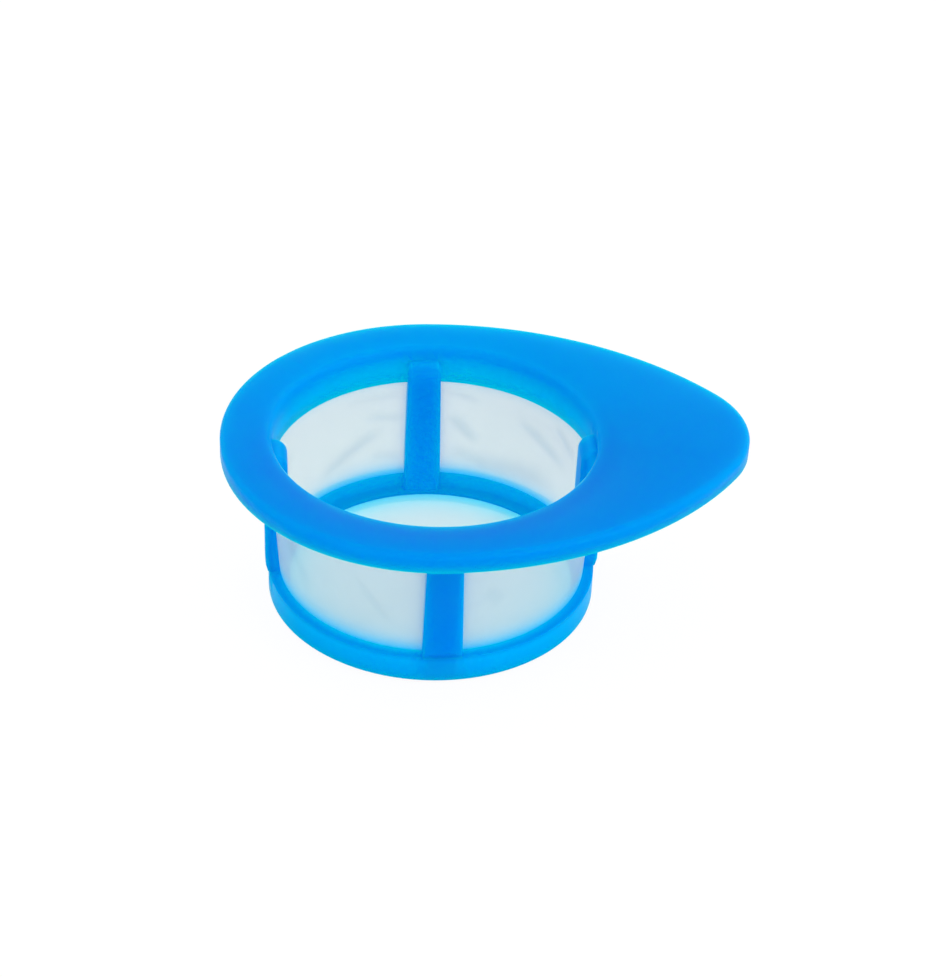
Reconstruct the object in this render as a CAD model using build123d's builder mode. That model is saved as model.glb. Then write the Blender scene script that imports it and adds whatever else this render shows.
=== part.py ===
from build123d import *

import os
from math import atan2, degrees, sqrt

# Cell strainer that hangs in the mouth of a 50 ml centrifuge tube: one moulded frame, one mesh strip
# round the basket and one mesh disc across its foot. Millimetres. The origin is on the basket's axis
# at the foot of the bottom ring, +Z points up to the mouth and +X to the tip of the finger tab.

# ---- driving dimensions -----------------------------------------------------------------------------
total_height = 14.75        # foot of the ring to the top of the flange

ring_outer_radius = 13.35   # enters the tube first
ring_height = 2.3           # foot to the outer edge of the ring's top
ring_shoulder_rise = 0.12   # the top of the ring slopes up to the mesh
ring_wall = 1.0             # thickness of the ring at its top
ring_draft = 0.17           # the ring's inside narrows this much down to the lip
lip_width = 0.58            # lip inside the ring, over the bottom mesh
lip_height = 1.15           # foot to the top of the lip, at the ring's wall
lip_slope = 0.1             # the lip's top falls this much towards the middle
foot_chamfer = 0.15

pillar_count = 4
pillar_proud = 0.27         # pillars and collar stand out this much beyond the ring
pillar_top_width = 2.66     # where the pillars' sides would reach the top of the flange
pillar_foot_width = 3.18    # and the foot of the ring: the pillars widen downwards
pillar_foot_rise = 0.85     # above the ring each pillar slopes out over this height
pillar_foot_slope = 0.22    # and by this much
pillar_edge_round = 0.18    # long outer edges of each pillar
rib_reach = 1.3             # mouth to the inner face of each rib, under the crest
rib_crest_depth = 1.35      # top of the flange to the crest of each rib
rib_crest_round = 1.2       # lead-in at the crest
rib_edge_round = 0.35       # long inner edges of each rib

collar_wall = 0.62          # thickness of the collar at the mouth
collar_depth = 3.4          # top of the flange to the lower edge of the collar
collar_draft = 0.1          # the mouth narrows this much down to the collar's lower edge
mouth_chamfer = 0.28

flange_thickness = 1.6
flange_width = 4.0          # mouth to the rim, round the basket
tab_reach = 25.2            # basket's axis to the tip of the tab
tab_tip_radius = 8.5
flank_radius = 29.5         # long curves from the flange into the tab
rim_round = 0.45            # upper edge of the rim; the lower one is sharp

mesh_thickness = 0.15
mesh_clearance = 0.02       # gap left all round each mesh in its seat
mesh_collar_inset = 0.25    # collar's inside to the middle of the side mesh
mesh_ring_inset = 0.15      # ring's inside to the middle of the side mesh
mesh_collar_seat = 0.9      # depth of the side mesh's seat in the collar
mesh_ring_seat = 1.0        # and in the ring
bottom_mesh_height = 0.58   # foot to the underside of the bottom mesh
bottom_mesh_seat = 0.7      # how far the disc reaches into the ring's wall

# ---- places worked out from them --------------------------------------------------------------------
flange_base = total_height - flange_thickness
collar_base = total_height - collar_depth
rib_crest = total_height - rib_crest_depth
ring_shoulder = ring_height + ring_shoulder_rise

ring_inner_radius = ring_outer_radius - ring_wall
throat_radius = ring_inner_radius - ring_draft
lip_radius = throat_radius - lip_width
basket_outer_radius = ring_outer_radius + pillar_proud
mouth_radius = basket_outer_radius - collar_wall
collar_base_radius = mouth_radius - collar_draft
rib_radius = mouth_radius - rib_reach
flange_radius = mouth_radius + flange_width
bottom_mesh_radius = lip_radius + bottom_mesh_seat

# the side mesh is a cone from inside the ring's top up to the middle of the collar's wall
mesh_low_radius = ring_inner_radius + mesh_ring_inset
mesh_high_radius = collar_base_radius + mesh_collar_inset
mesh_slope = (mesh_high_radius - mesh_low_radius) / (collar_base - ring_shoulder)


def mesh_section(margin):
    """Corners of the side mesh's section in radius and height, grown by a margin on every side."""
    half = mesh_thickness / 2 + margin
    low = ring_shoulder - mesh_ring_seat - margin
    high = collar_base + mesh_collar_seat + margin
    low_radius, high_radius = (mesh_low_radius + mesh_slope * (z - ring_shoulder) for z in (low, high))
    return [
        (low_radius - half, low),
        (low_radius + half, low),
        (high_radius + half, high),
        (high_radius - half, high),
    ]


# ---- one pillar with its rib, standing at +X --------------------------------------------------------
# Its radial section, drawn across the basket's wall, is trimmed to the shape that the pillar shows from
# outside: narrow under the flange, wide at the foot.
with BuildPart() as pillar:
    with BuildSketch(Plane.XZ):
        with BuildLine():
            Polyline(
                (basket_outer_radius, rib_crest),
                (rib_radius, rib_crest),
                (lip_radius, lip_height),
                (ring_inner_radius, lip_height),
                (ring_inner_radius, ring_height),
                (basket_outer_radius, ring_height),
                close=True,
            )
        make_face()
        fillet(vertices().group_by(Axis.Y)[-1].sort_by(Axis.X)[0], rib_crest_round)
        foot = vertices().sort_by_distance((basket_outer_radius, ring_height))[0]
        chamfer(foot, pillar_foot_rise, pillar_foot_slope)
    extrude(amount=pillar_foot_width, both=True)
    with BuildSketch(Plane.YZ):
        with BuildLine():
            Polyline(
                (-pillar_foot_width / 2, 0),
                (pillar_foot_width / 2, 0),
                (pillar_top_width / 2, total_height),
                (-pillar_top_width / 2, total_height),
                close=True,
            )
        make_face()
    extrude(amount=flange_radius, mode=Mode.INTERSECT)
    sides = pillar.faces().sort_by(Axis.Y)
    side_edges = sides[0].edges() + sides[-1].edges()
    inner_edges = side_edges.filter_by_position(Axis.X, 0, rib_radius + rib_crest_round / 2)
    outer_edges = side_edges.filter_by_position(Axis.X, ring_outer_radius, flange_radius)
    fillet(inner_edges.filter_by_position(Axis.Z, ring_height, total_height), rib_edge_round)
    fillet(outer_edges.filter_by_position(Axis.Z, ring_height, total_height), pillar_edge_round)
    # the outside follows the collar's, so that nothing overhangs the flange's flat underside
    with BuildSketch():
        Circle(basket_outer_radius)
    extrude(amount=total_height, mode=Mode.INTERSECT)

# ---- frame: the flange's teardrop outline -----------------------------------------------------------
# Each long flank arc runs tangent into the flange's circle and into the tip's circle, both of which lie
# inside it. Its centre is therefore flank_radius - flange_radius from the basket's axis and
# flank_radius - tab_tip_radius from the tip's centre.
tip_centre = tab_reach - tab_tip_radius
to_axis = flank_radius - flange_radius
to_tip = flank_radius - tab_tip_radius
flank_x = (to_axis**2 - to_tip**2 + tip_centre**2) / (2 * tip_centre)
flank_y = sqrt(to_axis**2 - flank_x**2)
join_angle = degrees(atan2(flank_y, -flank_x))              # where a flank meets the flange's circle
tip_angle = degrees(atan2(flank_y, tip_centre - flank_x))   # and where it meets the tip's

with BuildPart() as frame:
    with BuildSketch(Plane.XY.offset(flange_base)):
        with BuildLine():
            CenterArc((0, 0), flange_radius, join_angle, 360 - 2 * join_angle)
            CenterArc((flank_x, flank_y), flank_radius, -join_angle, join_angle - tip_angle)
            CenterArc((tip_centre, 0), tab_tip_radius, -tip_angle, 2 * tip_angle)
            CenterArc((flank_x, -flank_y), flank_radius, tip_angle, join_angle - tip_angle)
        make_face()
    extrude(amount=flange_thickness)
    fillet(frame.edges().group_by(Axis.Z)[-1], rim_round)

    # collar under the flange, then the mouth through both, drafted as the mould's core is
    with BuildSketch(Plane.XY.offset(collar_base)):
        Circle(basket_outer_radius)
    extrude(amount=collar_depth - flange_thickness)
    with BuildSketch(Plane.XZ):
        with BuildLine():
            Polyline(
                (0, collar_base),
                (collar_base_radius, collar_base),
                (mouth_radius, total_height),
                (0, total_height),
                close=True,
            )
        make_face()
    revolve(axis=Axis.Z, mode=Mode.SUBTRACT)
    chamfer(frame.edges(Select.LAST).sort_by(Axis.Z)[-1], mouth_chamfer)

    # bottom ring: sloping shoulder, drafted throat and the lip over the bottom mesh
    with BuildSketch(Plane.XZ):
        with BuildLine():
            Polyline(
                (ring_outer_radius, 0),
                (ring_outer_radius, ring_height),
                (mesh_low_radius, ring_shoulder),
                (ring_inner_radius, ring_shoulder),
                (throat_radius, lip_height),
                (lip_radius, lip_height - lip_slope),
                (lip_radius, 0),
                close=True,
            )
        make_face()
        chamfer(vertices().group_by(Axis.Y)[0].sort_by(Axis.X)[-1], foot_chamfer)
    revolve(axis=Axis.Z)

    with PolarLocations(0, pillar_count):
        add(pillar.part)

    # seats of the two meshes
    with BuildSketch(Plane.XZ):
        with BuildLine():
            Polyline(*mesh_section(mesh_clearance), close=True)
        make_face()
    revolve(axis=Axis.Z, mode=Mode.SUBTRACT)
    with BuildSketch(Plane.XY.offset(bottom_mesh_height - mesh_clearance)):
        Circle(bottom_mesh_radius + mesh_clearance)
    extrude(amount=mesh_thickness + 2 * mesh_clearance, mode=Mode.SUBTRACT)

frame.part.label = "frame"

# ---- side mesh: one strip round the basket ----------------------------------------------------------
with BuildPart() as side_mesh:
    with BuildSketch(Plane.XZ):
        with BuildLine():
            Polyline(*mesh_section(0), close=True)
        make_face()
    revolve(axis=Axis.Z)
side_mesh.part.label = "side_mesh"

# ---- bottom mesh: one disc across the foot ----------------------------------------------------------
with BuildPart() as bottom_mesh:
    with BuildSketch(Plane.XY.offset(bottom_mesh_height)):
        Circle(bottom_mesh_radius)
    extrude(amount=mesh_thickness)
bottom_mesh.part.label = "bottom_mesh"

# ---- write one STEP file for each piece -------------------------------------------------------------
os.makedirs("parts", exist_ok=True)
for piece in (frame, side_mesh, bottom_mesh):
    export_step(piece.part, f"parts/{piece.part.label}.step")
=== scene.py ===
"""Looks of a cell strainer: one blue moulded frame, a woven nylon strip round the basket and a woven
nylon disc across its foot. Metres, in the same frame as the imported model: the origin is on the basket's
axis at the foot of the bottom ring, +Z points up to the mouth and +X to the tip of the finger tab."""

from math import cos, pi, radians, sin

import bmesh
import bpy
import numpy as np
from mathutils import Matrix, Vector


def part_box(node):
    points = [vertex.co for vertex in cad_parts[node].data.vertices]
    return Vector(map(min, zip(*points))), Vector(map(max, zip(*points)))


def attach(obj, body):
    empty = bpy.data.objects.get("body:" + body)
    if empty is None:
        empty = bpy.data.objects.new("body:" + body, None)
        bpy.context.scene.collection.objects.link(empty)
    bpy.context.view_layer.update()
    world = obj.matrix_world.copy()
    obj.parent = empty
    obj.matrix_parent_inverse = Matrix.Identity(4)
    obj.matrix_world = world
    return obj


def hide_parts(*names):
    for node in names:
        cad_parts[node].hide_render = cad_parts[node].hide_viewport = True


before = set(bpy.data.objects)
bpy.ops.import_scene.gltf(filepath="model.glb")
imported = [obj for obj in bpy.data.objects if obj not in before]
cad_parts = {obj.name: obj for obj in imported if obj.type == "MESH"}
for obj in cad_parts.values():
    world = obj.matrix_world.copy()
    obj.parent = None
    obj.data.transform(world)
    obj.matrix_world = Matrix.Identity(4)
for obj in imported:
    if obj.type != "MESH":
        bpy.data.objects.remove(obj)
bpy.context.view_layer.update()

MM = 0.001

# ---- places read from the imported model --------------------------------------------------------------
frame_low, frame_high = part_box("frame")
strip_low, strip_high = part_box("side_mesh")
disc_low, disc_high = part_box("bottom_mesh")

# ---- camera -----------------------------------------------------------------------------------------
camera_turn = radians(5.93)         # from straight in front towards the left
camera_height = radians(34.19)      # above the horizon
camera_roll = radians(-2.409)
camera_distance = 183.25 * MM
camera_aim = Vector((2.634, -2.818, 11.024)) * MM
camera_lens = 85.22                 # millimetres, as the sensor's width is
camera_sensor = 36
camera_near, camera_far = 0.005, 20     # metres


def put_in_scene(name, data):
    """An object for a mesh, a lamp or the camera, linked into the scene."""
    made = bpy.data.objects.new(name, data)
    bpy.context.scene.collection.objects.link(made)
    return made


def make_camera():
    """Stands the camera back from the aim point along its own line of sight, then rolls it."""
    ahead = Vector((
        sin(camera_turn) * cos(camera_height),
        cos(camera_turn) * cos(camera_height),
        -sin(camera_height),
    ))
    level = Vector((cos(camera_turn), -sin(camera_turn), 0))
    upward = level.cross(ahead)
    across = level * cos(camera_roll) - upward * sin(camera_roll)
    up = level * sin(camera_roll) + upward * cos(camera_roll)
    place = camera_aim - ahead * camera_distance
    data = bpy.data.cameras.new("camera")
    data.lens = camera_lens
    data.sensor_width = camera_sensor
    data.clip_start, data.clip_end = camera_near, camera_far
    camera = put_in_scene("camera", data)
    camera.matrix_world = Matrix((
        (across.x, up.x, -ahead.x, place.x),
        (across.y, up.y, -ahead.y, place.y),
        (across.z, up.z, -ahead.z, place.z),
        (0, 0, 0, 1),
    ))
    bpy.context.scene.camera = camera


# ---- frame: moulded round the cloth, with no seats left open ----------------------------------------
seat_clearance = 0.02 * MM
seat_margin = 0.2 * seat_clearance  # how near a point lies to a seat's wall to count as part of it
weld_distance = 0.0001 * MM
level_margin = 0.002 * MM           # heights nearer than this are the same height
lip_height = 1.15 * MM
lip_slope = 0.1 * MM                # the lip's top falls this much from its outer to its inner edge
lip_outer_radius = 12.18 * MM
lip_inner_radius = 11.6 * MM
crisp_angle = radians(32)           # faces that meet at more than this keep a sharp edge


def node_points(node):
    """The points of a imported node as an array."""
    points = np.zeros(len(node.data.vertices) * 3, np.float32)
    node.data.vertices.foreach_get("co", points)
    return points.reshape(-1, 3).astype(float)


def wall_line(points):
    """The straight line that the strip's section follows: middle radius at its lowest and highest edge,
    and half its thickness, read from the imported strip's own points."""
    radius, height = np.hypot(points[:, 0], points[:, 1]), points[:, 2]
    foot = radius[height < strip_low.z + level_margin]
    top = radius[height > strip_high.z - level_margin]
    return (foot.min() + foot.max()) / 2, (top.min() + top.max()) / 2, (foot.max() - foot.min()) / 2


foot_radius, top_radius, half_thickness = wall_line(node_points(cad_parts["side_mesh"]))


def strip_radius(height):
    """Middle radius of the strip at a height: a straight line from its foot to its top."""
    share = (height - strip_low.z) / (strip_high.z - strip_low.z)
    return foot_radius + (top_radius - foot_radius) * share


def open_seats(shell):
    """Takes away the walls of the two seats. A wall's points lie at one clearance from the cloth's own
    surfaces: beside the strip's cone, or under or over the disc."""
    points = np.array([v.co for v in shell.verts])
    radius, height = np.hypot(points[:, 0], points[:, 1]), points[:, 2]
    from_strip = np.abs(np.abs(radius - strip_radius(height)) - half_thickness - seat_clearance)
    low, high = strip_low.z - 2 * seat_clearance, strip_high.z + 2 * seat_clearance
    strip_seat = (from_strip < seat_margin) & (height > low) & (height < high)
    under = np.abs(height - disc_low.z + seat_clearance)
    over = np.abs(height - disc_high.z - seat_clearance)
    disc_seat = np.minimum(under, over) < seat_margin
    corners = np.array([[v.index for v in face.verts] for face in shell.faces])
    walls = strip_seat[corners].all(1) | disc_seat[corners].all(1)
    shell.faces.ensure_lookup_table()
    bmesh.ops.delete(shell, geom=[shell.faces[i] for i in np.flatnonzero(walls)], context="FACES")
    bmesh.ops.delete(shell, geom=[v for v in shell.verts if not v.link_faces], context="VERTS")


def close_onto_cloth(shell):
    """Joins the two open edges on either side of the cloth by a narrow band: the inner and the outer
    edge of each of the four windows, and the upper and the lower one in the foot."""
    open_edges = dict.fromkeys(edge for edge in shell.edges if edge.is_boundary)
    pairs = {}
    while open_edges:
        loop, waiting = [], [open_edges.popitem()[0]]
        while waiting:
            edge = waiting.pop()
            loop.append(edge)
            for touching in [e for v in edge.verts for e in v.link_edges]:
                if touching in open_edges:
                    del open_edges[touching]
                    waiting.append(touching)
        middle = np.mean([v.co for edge in loop for v in edge.verts], axis=0)
        opening = "foot" if middle[2] < lip_height else (middle[0] > 0, middle[1] > 0)
        pairs.setdefault(opening, []).extend(loop)
    for edges in pairs.values():
        bmesh.ops.bridge_loops(shell, edges=edges)
    bmesh.ops.recalc_face_normals(shell, faces=shell.faces)


def rib_feet(shell):
    """One prism under the flat foot of each rib, which stands over the lip's falling top. The prisms
    reach from the feet down into the lip."""
    feet = shell.copy()
    others = []
    for face in feet.faces:
        flat = max(abs(v.co.z - lip_height) for v in face.verts) < level_margin
        under_rib = Vector(face.calc_center_median()[:2]).length < lip_outer_radius
        if not (flat and under_rib and face.normal.z < 0):
            others.append(face)
    bmesh.ops.delete(feet, geom=others, context="FACES")
    copied = bmesh.ops.extrude_face_region(feet, geom=feet.faces[:])
    lower = [part for part in copied["geom"] if isinstance(part, bmesh.types.BMVert)]
    bmesh.ops.translate(feet, verts=lower, vec=(0, 0, -2 * lip_slope))
    bmesh.ops.recalc_face_normals(feet, faces=feet.faces)
    mesh = bpy.data.meshes.new("rib_feet")
    feet.to_mesh(mesh)
    feet.free()
    return mesh


def fused(mesh, added):
    """One closed mesh from two that touch or overlap."""
    whole, extra = put_in_scene(mesh.name, mesh), put_in_scene(added.name, added)
    union = whole.modifiers.new("union", "BOOLEAN")
    union.operation = "UNION"
    union.solver = "EXACT"
    union.object = extra
    result = bpy.data.meshes.new_from_object(whole.evaluated_get(bpy.context.evaluated_depsgraph_get()))
    for part in (whole, extra):
        bpy.data.objects.remove(part)
    return result


def moulded_frame():
    """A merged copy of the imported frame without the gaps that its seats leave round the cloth, because
    the plastic is moulded onto it and light passes through it unbroken."""
    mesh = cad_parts["frame"].data.copy()
    shell = bmesh.new()
    shell.from_mesh(mesh)
    bmesh.ops.remove_doubles(shell, verts=shell.verts, dist=weld_distance)
    open_seats(shell)
    close_onto_cloth(shell)
    shell.to_mesh(mesh)
    feet = rib_feet(shell)
    shell.free()
    mesh = fused(mesh, feet)
    mesh.name = "frame_moulding"
    mesh.polygons.foreach_set("use_smooth", np.ones(len(mesh.polygons), bool))
    mesh.set_sharp_from_angle(angle=crisp_angle)
    return put_in_scene("frame_moulding", mesh)


# ---- cloth: what the strip and the disc share -------------------------------------------------------
def woven_piece(name, points, faces, uv, layers):
    """A smooth shaded mesh from an array of points and a list of arrays of faces. uv holds one pair for
    each corner of each face, in millimetres of cloth, and layers holds one number for each point under
    a name that the material reads."""
    mesh = bpy.data.meshes.new(name)
    mesh.vertices.add(len(points))
    mesh.vertices.foreach_set("co", points.astype(np.float32).ravel())
    corners = np.concatenate([alike.ravel() for alike in faces])
    sizes = np.concatenate([np.full(len(alike), alike.shape[1]) for alike in faces])
    mesh.loops.add(len(corners))
    mesh.loops.foreach_set("vertex_index", corners.astype(np.int32))
    mesh.polygons.add(len(sizes))
    mesh.polygons.foreach_set("loop_start", (np.cumsum(sizes) - sizes).astype(np.int32))
    mesh.polygons.foreach_set("use_smooth", np.ones(len(sizes), bool))
    mesh.update(calc_edges=True)
    mesh.uv_layers.new(name="weave").data.foreach_set("uv", uv.astype(np.float32).ravel())
    for layer, values in layers.items():
        stored = mesh.attributes.new(layer, "FLOAT", "POINT")
        stored.data.foreach_set("value", values.astype(np.float32).ravel())
    mesh.validate()
    return put_in_scene(name, mesh)


def smooth_step(low, high, x):
    """0 below low and 1 above high. Between them it is three times the square of the share of the way
    less twice its cube."""
    share = np.clip((x - low) / (high - low), 0, 1)
    return share * share * (3 - 2 * share)


# ---- side mesh: a strip round the basket ------------------------------------------------------------
strip_around = 720                  # steps round the basket
strip_rows = 96                     # steps from the ring's seat to the collar's
seat_depth_ring = 1.0 * MM          # how much of the strip is held in the ring
seat_depth_collar = 0.9 * MM
freed_over_ring = 1.3 * MM          # the strip comes free of the ring over this height
freed_under_collar = 1.6 * MM
window_flattening = 0.16 * MM
slack_depth = 0.02 * MM
slack_twist = 260                   # radians that the slack's waves turn in a metre of height
cloth_radius = 12.8                 # millimetres of cloth for one radian round the basket
# The crease layer only sets how much painted shade the nylon gets in its creases; the dent itself is in
# the points.
shaded_crease = 0.12 * MM           # depth at which the crease layer is 1

pillar_count = 4
pillar_half_foot = 1.59 * MM        # half a pillar's width at the foot of the ring
pillar_half_top = 1.33 * MM         # and at the top of the flange

ring_top = strip_low.z + seat_depth_ring
collar_foot = strip_high.z - seat_depth_collar

# Painted blue light in the strip: its strength at the plastic's edge, and the distance over which it dies
# away
ring_glow, ring_glow_reach, ring_glow_power = 1.0, 0.9 * MM, 1.3
collar_glow, collar_glow_reach = 0.35, 0.35 * MM
pillar_glow, pillar_glow_reach = 0.25, 0.22 * MM

# Creases of the strip: angle round the basket and height of the middle, lean from upright, half length,
# half width and depth. Degrees and millimetres.
creases = [
    (120.3, 5.7, 67.0, 3.0, 0.60, 0.15),
    (104.7, 8.2, -80.0, 1.6, 0.50, 0.10),
    (103.6, 4.4, -81.0, 1.4, 0.55, 0.08),
    (108.8, 10.4, -86.0, 2.6, 0.50, 0.10),
    (74.1, 7.1, -48.0, 1.6, 0.60, 0.15),
    (76.7, 10.4, -80.0, 1.7, 0.50, 0.10),
    (39.1, 8.2, -71.0, 2.6, 0.60, 0.14),
    (28.1, 9.7, -58.0, 1.7, 0.50, 0.12),
    (71.4, 4.4, -76.0, 1.7, 0.70, 0.11),
    (50.3, 4.4, 83.0, 3.6, 1.00, 0.15),
    (158.0, 7.0, 35.0, 2.2, 0.60, 0.09),
    (209.5, 6.6, 45.0, 1.8, 0.80, 0.06),
    (244.8, 6.7, 38.0, 2.4, 0.45, 0.05),
    (288.0, 7.4, 43.0, 1.0, 0.70, 0.06),
    (320.5, 6.1, 42.0, 2.0, 0.70, 0.03),
    (345.0, 6.0, -35.0, 1.6, 0.60, 0.05),
]


def crease_field(angle, height, radius):
    """Depth of all creases together. Each is a soft dent that falls off across it as a bell curve, the
    exponential of minus the square, and along it as a flatter one with the fourth power."""
    dent = np.zeros_like(angle)
    for turn, middle, lean, half_length, half_width, depth in creases:
        away = (angle - radians(turn) + pi) % (2 * pi) - pi
        x, y = away * radius, height - middle * MM
        along = (x * -sin(radians(lean)) + y * cos(radians(lean))) / (half_length * MM)
        across = (x * cos(radians(lean)) + y * sin(radians(lean))) / (half_width * MM)
        dent += depth * MM * np.exp(-across**2 - along**4)
    return dent


def painted_glow_beside_plastic(angle, height, radius):
    """Painted blue light that stands for what the plastic throws into the cloth: it dies away
    exponentially with the distance from the ring, from the collar and from the straight sides of the
    nearest pillar, and the strongest of the three counts."""
    spacing = 2 * pi / pillar_count
    turn = (angle + spacing / 2) % spacing - spacing / 2
    half = pillar_half_foot + (pillar_half_top - pillar_half_foot) * height / frame_high.z
    over_ring = np.clip(height - ring_top, 0, None)
    under_collar = np.clip(collar_foot - height, 0, None)
    beside = np.clip(np.abs(radius * np.sin(turn)) - half, 0, None)
    ring = ring_glow * np.exp(-(over_ring / ring_glow_reach) ** ring_glow_power)
    collar = collar_glow * np.exp(-under_collar / collar_glow_reach)
    pillar = pillar_glow * np.exp(-beside / pillar_glow_reach)
    return np.maximum(ring, np.maximum(collar, pillar))


def side_mesh_strip():
    """A cone between the seat in the ring and the seat in the collar. Where it is free it is pulled a
    little flat between the pillars, by the square of the sine of twice the angle, and the creases dent
    it inwards. A slack makes it uneven: nine waves round it, which turn with the height, times five."""
    turn = np.linspace(0, 2 * pi, strip_around + 1)
    share = np.linspace(0, 1, strip_rows + 1)
    angle, part = np.meshgrid(turn, share, indexing="ij")
    rise = strip_high.z - strip_low.z
    height = strip_low.z + rise * part
    radius = strip_radius(height)
    free = smooth_step(ring_top, ring_top + freed_over_ring, height)
    free *= 1 - smooth_step(collar_foot - freed_under_collar, collar_foot, height)
    flat = window_flattening * np.sin(2 * angle) ** 2
    dent = crease_field(angle, height, radius)
    slack = slack_depth * np.sin(9 * angle + slack_twist * height) * np.sin(5 * angle - 1.3)
    pulled = radius - free * (flat + dent + slack)
    points = np.stack([pulled * np.cos(angle), pulled * np.sin(angle), height], -1)

    # the last column is the first one again, so the seam is closed
    rows = strip_rows + 1
    column, row = np.arange(strip_around), np.arange(strip_rows)
    here = column[:, None] * rows + row
    there = ((column + 1) % strip_around)[:, None] * rows + row
    faces = np.stack([here, there, there + 1, here + 1], -1).reshape(-1, 4)

    # woven cloth coordinates in millimetres: round the strip and up it
    around = np.stack([turn[:-1], turn[1:], turn[1:], turn[:-1]], -1) * cloth_radius
    around = np.repeat(around[:, None, :], strip_rows, 1)
    upward = np.stack([share[:-1], share[:-1], share[1:], share[1:]], -1) * rise / MM
    upward = np.repeat(upward[None, :, :], strip_around, 0)

    crease = dent * free / shaded_crease
    glow = painted_glow_beside_plastic(angle, height, radius)
    return woven_piece(
        "side_mesh_weave",
        points[:-1].reshape(-1, 3),
        [faces],
        np.stack([around, upward], -1),
        {"crease": crease[:-1], "blue_glow": glow[:-1]},
    )


# ---- bottom mesh: a disc across the foot ------------------------------------------------------------
disc_around = 192                   # steps round the disc
disc_rings = 48                     # steps from its middle to its edge
disc_sag = 0.06 * MM
disc_ripple = 0.03 * MM
disc_free = 0.82                    # share of the disc's radius up to which it is free
disc_held = 0.93                    # and from which the seat holds it
disc_glow_reach = 1.7 * MM


def bottom_mesh_disc():
    """Rings of points round one middle point, held in the ring's seat. The disc sags by its depth times
    one less the square of the share of its radius. Ripples of three and five waves round it grow with
    the square and the cube of that share, and both die away at the seat."""
    level = (disc_low.z + disc_high.z) / 2
    share = np.linspace(0, 1, disc_rings + 1)[1:]
    turn = np.linspace(0, 2 * pi, disc_around, endpoint=False)
    part, angle = np.meshgrid(share, turn, indexing="ij")
    free = 1 - smooth_step(disc_free, disc_held, part)
    ripple = np.sin(3 * angle + 0.6) * part**2 + 0.6 * np.sin(5 * angle - 1.1) * part**3
    height = level - free * (disc_sag * (1 - part**2) + disc_ripple * ripple)
    reach = disc_high.x * part
    rings = np.stack([reach * np.cos(angle), reach * np.sin(angle), height], -1)
    points = np.concatenate([[[0, 0, level - disc_sag]], rings.reshape(-1, 3)])

    # triangles round the middle point, then four-cornered faces between each ring and the next
    a, b = np.arange(disc_around), (np.arange(disc_around) + 1) % disc_around
    fan = np.stack([np.zeros(disc_around, int), 1 + a, 1 + b], -1)
    inner = 1 + np.arange(disc_rings - 1)[:, None] * disc_around
    outer = inner + disc_around
    bands = np.stack([inner + a, outer + a, outer + b, inner + b], -1).reshape(-1, 4)
    corners = np.concatenate([fan.ravel(), bands.ravel()])

    # painted blue light, strongest at the lip's edge and dying away towards the middle
    from_lip = np.clip(lip_inner_radius - np.linalg.norm(points[:, :2], axis=1), 0, None)
    return woven_piece(
        "bottom_mesh_weave",
        points,
        [fan, bands],
        points[corners, :2] / MM,
        {"crease": np.zeros(len(points)), "blue_glow": np.exp(-from_lip / disc_glow_reach)},
    )


# ---- shader helpers ---------------------------------------------------------------------------------
def feed(tree, socket, value):
    """Gives an input its value: a link from another node's output, or a plain number or colour."""
    if isinstance(value, bpy.types.NodeSocket):
        tree.links.new(value, socket)
    else:
        socket.default_value = value


def add_node(tree, kind, inputs):
    """One node of a kind, with the named or numbered inputs fed; returns its first output, or nothing
    for a node that has none."""
    node = tree.nodes.new(kind)
    for title, value in inputs.items():
        feed(tree, node.inputs[title], value)
    return node.outputs[0] if node.outputs else None


def add_group(tree, group, inputs):
    """A node that holds a node group, with its named inputs fed; returns all its outputs."""
    node = tree.nodes.new("ShaderNodeGroup")
    node.node_tree = group
    for title, value in inputs.items():
        feed(tree, node.inputs[title], value)
    return node.outputs


def math(tree, operation, *values, clamp=False):
    """One Math node fed with sockets or plain numbers; returns its output."""
    node = tree.nodes.new("ShaderNodeMath")
    node.operation, node.use_clamp = operation, clamp
    for i, value in enumerate(values):
        feed(tree, node.inputs[i], value)
    return node.outputs[0]


def mix_colour(tree, share, low, high):
    """Blends two colours by a share; each is a socket or a plain colour."""
    node = tree.nodes.new("ShaderNodeMix")
    node.data_type = "RGBA"
    for i, value in ((0, share), (6, low), (7, high)):
        feed(tree, node.inputs[i], value)
    return node.outputs[2]


def split_places(tree, places):
    """The x, y and z of a socket that holds places."""
    node = tree.nodes.new("ShaderNodeSeparateXYZ")
    tree.links.new(places, node.inputs[0])
    return node.outputs


def stored_value(tree, layer):
    """The number that a mesh holds for each point under a name."""
    node = tree.nodes.new("ShaderNodeAttribute")
    node.attribute_name = layer
    return node.outputs["Fac"]


def new_group(name, inputs, outputs):
    """An empty shader node group: numbers by name and default going in, and by name coming out.
    Returns the group and its two end nodes."""
    group = bpy.data.node_groups.new(name, "ShaderNodeTree")
    for title, value in inputs.items():
        socket = group.interface.new_socket(title, in_out="INPUT", socket_type="NodeSocketFloat")
        socket.default_value = value
    for title in outputs:
        group.interface.new_socket(title, in_out="OUTPUT", socket_type="NodeSocketFloat")
    return group, group.nodes.new("NodeGroupInput"), group.nodes.new("NodeGroupOutput")


def emptied_tree(owner):
    """The node tree of a new material or world, with nothing in it."""
    owner.use_nodes = True
    owner.node_tree.nodes.clear()
    return owner.node_tree


# ---- woven nylon ------------------------------------------------------------------------------------
mesh_pitch = 0.08                   # millimetres from one thread to the next
thread_share = 0.47                 # width of a thread as a share of the pitch
thread_lift = 0.45                  # how far a thread rises and dips, as a share of its own height

closed_pores = 0.46                 # how closed the cloth is between its threads
closed_threads = 0.36               # what a thread adds to that
# the painted blue light beside the plastic also closes the pores in part
closed_glow = 0.35                  # and what the light beside the plastic adds
through_share = 0.6                 # share of a thread's light that comes through from behind it
glow_strength = 0.95

# painted shade: the colour that the nylon darkens towards in its creases, where shade falls
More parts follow.
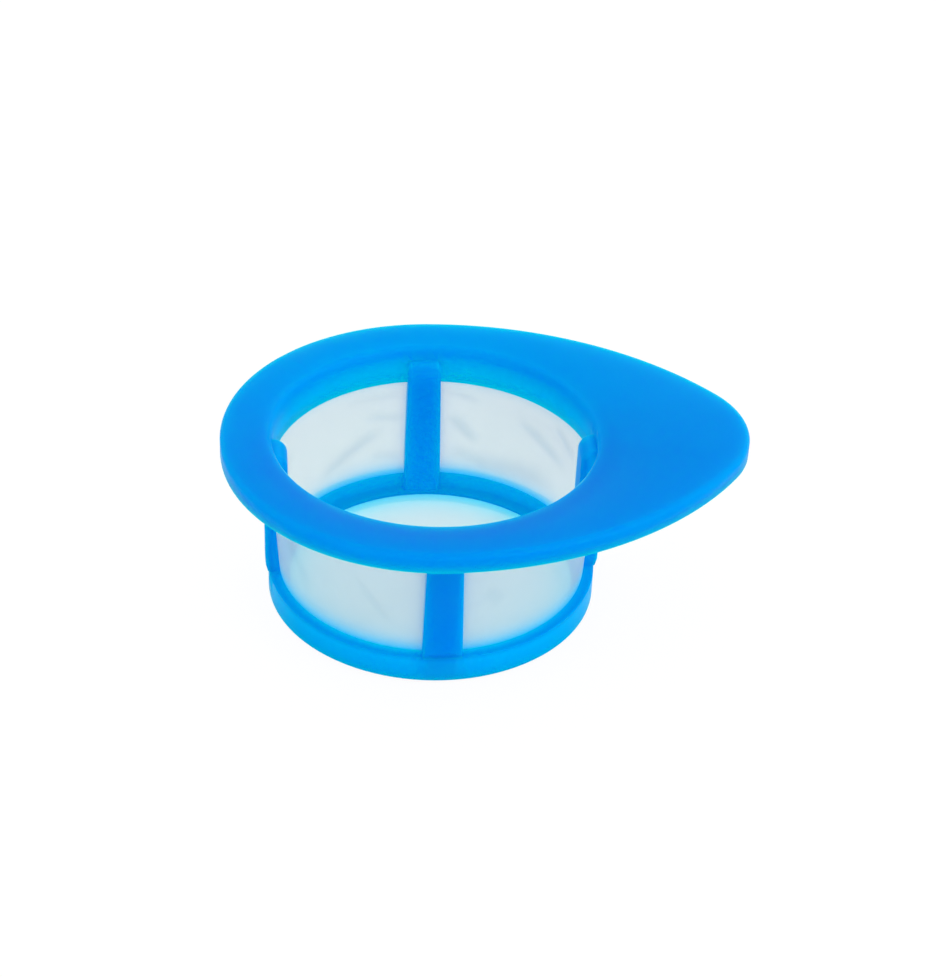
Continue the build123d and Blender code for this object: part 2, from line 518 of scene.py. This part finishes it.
painted_crease_shade = (0.40, 0.61, 0.69, 1)
strip_colours = {
    "thread": (0.715, 0.86, 0.85, 1),
    "dull_thread": (0.665, 0.825, 0.82, 1),
    "glow": (0.02, 0.57, 0.88, 1),
}
disc_colours = {
    "thread": (0.75, 0.97, 0.98, 1),
    "dull_thread": (0.71, 0.95, 0.97, 1),
    "glow": (0.10, 0.90, 1.0, 1),
}


def plain_weave_group():
    """Plain weave: round threads both ways at one pitch, each passing over and under its neighbours.
    A thread's height is a half circle across it, raised and lowered by a cosine along it, and warp and
    weft are half a wave apart. Puts out the height, the share covered by thread, and a slow
    unevenness."""
    group, source, sink = new_group(
        "plain_weave", {"Pitch": mesh_pitch, "Thread": thread_share}, ("Height", "Cover", "Unevenness")
    )
    pitch = source.outputs["Pitch"]
    half = math(group, "MULTIPLY", source.outputs["Thread"], 0.5)
    uv = group.nodes.new("ShaderNodeUVMap")
    uv.uv_map = "weave"
    around, upward, _ = split_places(group, uv.outputs[0])

    def threads(across, along, wave):
        """Height and cover of the threads that are counted across one direction and run along another."""
        counted = math(group, "DIVIDE", across, pitch)
        number = math(group, "FLOOR", counted)
        off = math(group, "SUBTRACT", math(group, "FRACT", counted), 0.5)
        share = math(group, "DIVIDE", math(group, "ABSOLUTE", off), half)
        inside = math(group, "SUBTRACT", 1.0, math(group, "MULTIPLY", share, share), clamp=True)
        crown = math(group, "SQRT", inside)
        steps = math(group, "DIVIDE", along, pitch)
        phase = math(group, "ADD", math(group, "ADD", steps, number), wave)
        swing = math(group, "COSINE", math(group, "MULTIPLY", phase, pi))
        lifted = math(group, "MULTIPLY_ADD", swing, thread_lift, 1.0)
        return math(group, "MULTIPLY", crown, lifted), math(group, "LESS_THAN", share, 1.0)

    warp, warp_cover = threads(around, upward, 0.5)
    weft, weft_cover = threads(upward, around, 1.5)
    uneven = add_node(group, "ShaderNodeTexNoise", {"Vector": uv.outputs[0], "Scale": 0.6, "Detail": 3})
    feed(group, sink.inputs["Height"], math(group, "MAXIMUM", warp, weft))
    feed(group, sink.inputs["Cover"], math(group, "MAXIMUM", warp_cover, weft_cover))
    feed(group, sink.inputs["Unevenness"], uneven)
    return group


def nylon_material(name, weave, thread, dull_thread, glow):
    """Pale nylon threads that let light through, open between them, with painted shade in their creases.
    Beside the plastic they get painted blue light, in their colour and as a weak emission, for the light
    that it guides into them; it also fills their pores in part."""
    material = bpy.data.materials.new(name)
    tree = emptied_tree(material)
    woven = add_group(tree, weave, {})
    crease_painted_shade_share = math(tree, "MULTIPLY", stored_value(tree, "crease"), 0.5, clamp=True)
    painted_glow_share = math(tree, "MULTIPLY", stored_value(tree, "blue_glow"), glow_strength, clamp=True)
    colour = mix_colour(tree, woven["Unevenness"], thread, dull_thread)
    # painted shade in the creases
    colour = mix_colour(tree, crease_painted_shade_share, colour, painted_crease_shade)
    # painted blue light beside the plastic
    colour = mix_colour(tree, painted_glow_share, colour, glow)
    bump = add_node(tree, "ShaderNodeBump", {
        "Distance": 0.02 * MM,
        "Strength": 0.3,
        "Height": woven["Height"],
    })
    threads = add_node(tree, "ShaderNodeBsdfPrincipled", {
        "Base Color": colour,
        "Roughness": 0.5,
        "Specular IOR Level": 0.25,
        # painted light: the cloth beside the plastic emits blue light, though it is no lamp
        "Emission Color": mix_colour(tree, painted_glow_share, (0, 0, 0, 1), glow),
        "Emission Strength": 0.6,
        "Normal": bump,
    })
    through = add_node(tree, "ShaderNodeBsdfTranslucent", {"Color": colour, "Normal": bump})
    cloth = add_node(tree, "ShaderNodeMixShader", {0: through_share, 1: threads, 2: through})
    pores = add_node(tree, "ShaderNodeBsdfTransparent", {})
    filled = math(tree, "MULTIPLY_ADD", painted_glow_share, closed_glow, closed_pores)
    closed = math(tree, "MULTIPLY_ADD", woven["Cover"], closed_threads, filled, clamp=True)
    whole = add_node(tree, "ShaderNodeMixShader", {0: closed, 1: pores, 2: cloth})
    add_node(tree, "ShaderNodeOutputMaterial", {"Surface": whole})
    return material


# ---- blue moulded plastic ---------------------------------------------------------------------------
flange_thickness = 1.6 * MM
flange_underside = frame_high.z - flange_thickness
collar_outer_radius = 13.62 * MM

# Where a share of the painted light and shade in the moulding is 0 and where it is 1. These are heights:
ring_curve = (ring_top + 0.1 * MM, ring_top - 0.6 * MM)
collar_low_curve = (collar_foot - 0.4 * MM, collar_foot + 0.1 * MM)
collar_high_curve = (frame_high.z - 0.6 * MM, collar_foot + 1.0 * MM)
basket_curve = (ring_top + 9.0 * MM, ring_top + 0.3 * MM)
flange_top_curve = (frame_high.z - 0.8 * MM, frame_high.z - 0.2 * MM)
flange_low_curve = (flange_underside + 0.45 * MM, flange_underside + 0.1 * MM)

# these are distances from the basket's axis:
inside_curve = (foot_radius + 0.9 * MM, foot_radius + 0.2 * MM)
beyond_ribs_curve = (foot_radius - 0.5 * MM, foot_radius + 0.1 * MM)
over_collar_curve = (foot_radius + 3.0 * MM, foot_radius + 1.2 * MM)
beyond_collar_curve = (collar_outer_radius + 0.4 * MM, collar_outer_radius + 1.0 * MM)

# and these are depths, towards the back:
front_curve = (6 * MM, -8 * MM)
back_curve = (-8 * MM, frame_high.y)

# plain_blue is the plastic's own colour; the four colours after it are painted light and shade
plain_blue = (0.0, 0.238, 0.76, 1)
painted_backlit_blue = (0.0, 0.303, 0.83, 1)
painted_collar_shade_blue = (0.0, 0.205, 0.735, 1)
painted_through_light_blue = (0.0, 0.42, 1.0, 1)
painted_edge_shade_blue = (0.0, 0.15, 0.74, 1)


def painted_wall_light_group():
    """Four shares of 0 to 1 for painted light and shade on the moulding. Thin is high in the bottom ring,
    in the collar and inside the basket, where painted light stands for light coming through the thin
    walls. Thick is high on the front of the flange right over the collar, where painted shade darkens
    it. Back rises from the front of the flange to its back, painted light for where most of the light
    comes from. Edge is high at the flange's sharp lower edge, where painted shade darkens it. Each is
    made of S-curves of the height, the depth and the distance from the basket's axis."""
    group, source, sink = new_group(
        "painted_wall_light_and_shade", {"Ring": 1.0, "Collar": 1.0, "Inside": 1.0}, ("Thin", "Thick", "Back", "Edge")
    )
    place = group.nodes.new("ShaderNodeTexCoord")
    x, y, z = split_places(group, place.outputs["Object"])
    squared = math(group, "MULTIPLY_ADD", x, x, math(group, "MULTIPLY", y, y))
    radius = math(group, "SQRT", squared)

    def curve(value, limits):
        """0 at the first limit, 1 at the second and an S-curve between them."""
        ramp = group.nodes.new("ShaderNodeMapRange")
        ramp.interpolation_type = "SMOOTHSTEP"
        for title, number in zip(("Value", "From Min", "From Max"), (value, *limits)):
            feed(group, ramp.inputs[title], number)
        return ramp.outputs[0]

    def product(first, *others):
        """All the shares multiplied."""
        for other in others:
            first = math(group, "MULTIPLY", first, other)
        return first

    inside = curve(radius, inside_curve)
    collar = product(curve(z, collar_low_curve), curve(z, collar_high_curve))
    ring = product(curve(z, ring_curve), source.outputs["Ring"])
    collar = product(collar, source.outputs["Collar"], inside, curve(radius, beyond_ribs_curve))
    basket = product(inside, curve(z, basket_curve), source.outputs["Inside"])
    shares = {
        "Thin": math(group, "MAXIMUM", ring, math(group, "MAXIMUM", collar, basket)),
        "Thick": product(
            curve(radius, over_collar_curve), curve(y, front_curve), curve(z, flange_top_curve)
        ),
        "Back": curve(y, back_curve),
        "Edge": product(curve(radius, beyond_collar_curve), curve(z, flange_low_curve)),
    }
    for title, share in shares.items():
        feed(group, sink.inputs[title], share)
    return group


def blue_plastic():
    """Slightly see-through polypropylene: light travels some millimetres inside it. Its blue is a
    little uneven, with painted light in the thin walls and towards the back and painted shade over the
    collar and along the flange's lower edge; its skin has the mould's fine texture, and its sharp
    edges are softened."""
    material = bpy.data.materials.new("blue_plastic")
    tree = emptied_tree(material)
    place = tree.nodes.new("ShaderNodeTexCoord").outputs["Object"]
    walls = add_group(tree, painted_wall_light_group(), {"Ring": 0.75, "Collar": 1.0, "Inside": 0.6})
    cloud = add_node(tree, "ShaderNodeTexNoise", {"Vector": place, "Scale": 160, "Detail": 2})
    uneven = math(tree, "MULTIPLY_ADD", cloud, 0.5, -0.25)
    # painted light towards the back, where most of the light comes from, over an uneven tone
    back = math(tree, "ADD", uneven, walls["Back"], clamp=True)
    colour = mix_colour(tree, back, plain_blue, painted_backlit_blue)
    # painted shade over the collar, painted light through the thin walls, painted shade along the
    # flange's lower edge
    colour = mix_colour(tree, walls["Thick"], colour, painted_collar_shade_blue)
    colour = mix_colour(tree, walls["Thin"], colour, painted_through_light_blue)
    colour = mix_colour(tree, walls["Edge"], colour, painted_edge_shade_blue)
    grain = add_node(tree, "ShaderNodeTexNoise", {"Vector": place, "Scale": 5200, "Detail": 3})
    softened = tree.nodes.new("ShaderNodeBevel")
    softened.samples = 6
    softened.inputs["Radius"].default_value = 0.07 * MM
    skin = add_node(tree, "ShaderNodeBump", {
        "Distance": 0.004 * MM,
        "Strength": 0.22,
        "Height": grain,
        "Normal": softened.outputs[0],
    })
    plastic = add_node(tree, "ShaderNodeBsdfPrincipled", {
        "Base Color": colour,
        "Roughness": math(tree, "MULTIPLY_ADD", grain, 0.12, 0.26),
        "Specular IOR Level": 0.008,
        "Subsurface Weight": 1.0,
        "Subsurface Radius": (0.1, 0.6, 0.35),
        "Subsurface Scale": 8 * MM,
        "Normal": skin,
    })
    add_node(tree, "ShaderNodeOutputMaterial", {"Surface": plastic})
    return material


# ---- floor, world and lamps -------------------------------------------------------------------------
floor_half = 3.0                    # metres from the basket's axis to each side of the floor
floor_gap = 0.4 * MM                # lets light in under the foot, as a glossy white table does
floor_pale = (0.9, 0.9, 0.9, 1)
floor_white = 1.03                  # brightness of the floor's plain white
floor_white_share = 0.92            # the rest of what is seen keeps the object's shadow

tent_level = 1.22                   # mean strength of the tent's light all round, level with the object,
tent_to_right = 0.14                # and what it gains towards the right,
tent_to_back = 0.14                 # towards the back
tent_upward = -0.44                 # and straight up

soft_box_size = 0.30
soft_box_aim = (0.005, 0, 0.008)
soft_boxes = {                      # place, and power in watts
    "soft_box_left": ((-0.28, -0.28, 0.06), 0.18),
    "soft_box_right": ((0.28, -0.28, 0.06), 0.40),
}


def seen_directly(tree):
    """1 for rays from the camera or from a mirror-like or clear surface, 0 for rays that only light."""
    path = tree.nodes.new("ShaderNodeLightPath")
    seen = math(tree, "MAXIMUM", path.outputs["Is Camera Ray"], path.outputs["Is Glossy Ray"])
    return math(tree, "MAXIMUM", seen, path.outputs["Is Transmission Ray"])


def make_floor():
    """A wide pale floor under the foot. Where it is seen directly it is brought up to white, and it
    keeps a part of the object's soft shadow."""
    half, level = floor_half, frame_low.z - floor_gap
    corners = [(-half, -half, level), (half, -half, level), (half, half, level), (-half, half, level)]
    mesh = bpy.data.meshes.new("floor")
    mesh.from_pydata(corners, [], [(0, 1, 2, 3)])
    floor = put_in_scene("floor", mesh)
    material = bpy.data.materials.new("pale_floor")
    tree = emptied_tree(material)
    matt = add_node(tree, "ShaderNodeBsdfDiffuse", {"Color": floor_pale})
    white = add_node(tree, "ShaderNodeEmission", {"Strength": floor_white})
    share = math(tree, "MULTIPLY", seen_directly(tree), floor_white_share)
    shown = add_node(tree, "ShaderNodeMixShader", {0: share, 1: matt, 2: white})
    add_node(tree, "ShaderNodeOutputMaterial", {"Surface": shown})
    mesh.materials.append(material)


def make_world():
    """A white tent, never darker than white where it is seen. As a light it is weaker from above than
    from the sides, and a little stronger from behind and from the right."""
    world = bpy.data.worlds.new("tent")
    bpy.context.scene.world = world
    tree = emptied_tree(world)
    where = tree.nodes.new("ShaderNodeTexCoord")
    x, y, z = split_places(tree, where.outputs["Generated"])
    light = math(tree, "MULTIPLY_ADD", y, tent_to_back, tent_level)
    light = math(tree, "MULTIPLY_ADD", z, tent_upward, light)
    light = math(tree, "MULTIPLY_ADD", x, tent_to_right, light)
    strength = math(tree, "MAXIMUM", light, seen_directly(tree))
    white = add_node(tree, "ShaderNodeBackground", {"Color": (1, 1, 1, 1), "Strength": strength})
    add_node(tree, "ShaderNodeOutputWorld", {"Surface": white})


def make_lamp(name, place, power):
    """A square soft box at a place, turned towards the basket."""
    data = bpy.data.lights.new(name, "AREA")
    data.shape = "SQUARE"
    data.size = soft_box_size
    data.energy = power
    lamp = put_in_scene(name, data)
    lamp.location = place
    towards = Vector(soft_box_aim) - Vector(place)
    lamp.rotation_euler = towards.to_track_quat("-Z", "Y").to_euler()


# ---- the whole --------------------------------------------------------------------------------------
make_camera()
make_floor()
make_world()
for name, (place, power) in soft_boxes.items():
    make_lamp(name, place, power)

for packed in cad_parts.values():
    packed.data.materials.clear()

moulding = moulded_frame()
moulding.data.materials.append(blue_plastic())
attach(moulding, "root")
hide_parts("frame")

weave = plain_weave_group()
strip = side_mesh_strip()
strip.data.materials.append(nylon_material("nylon_strip", weave, **strip_colours))
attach(strip, "root")
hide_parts("side_mesh")

disc = bottom_mesh_disc()
disc.data.materials.append(nylon_material("nylon_disc", weave, **disc_colours))
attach(disc, "root")
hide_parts("bottom_mesh")

bpy.context.scene.view_settings.view_transform = "Standard"
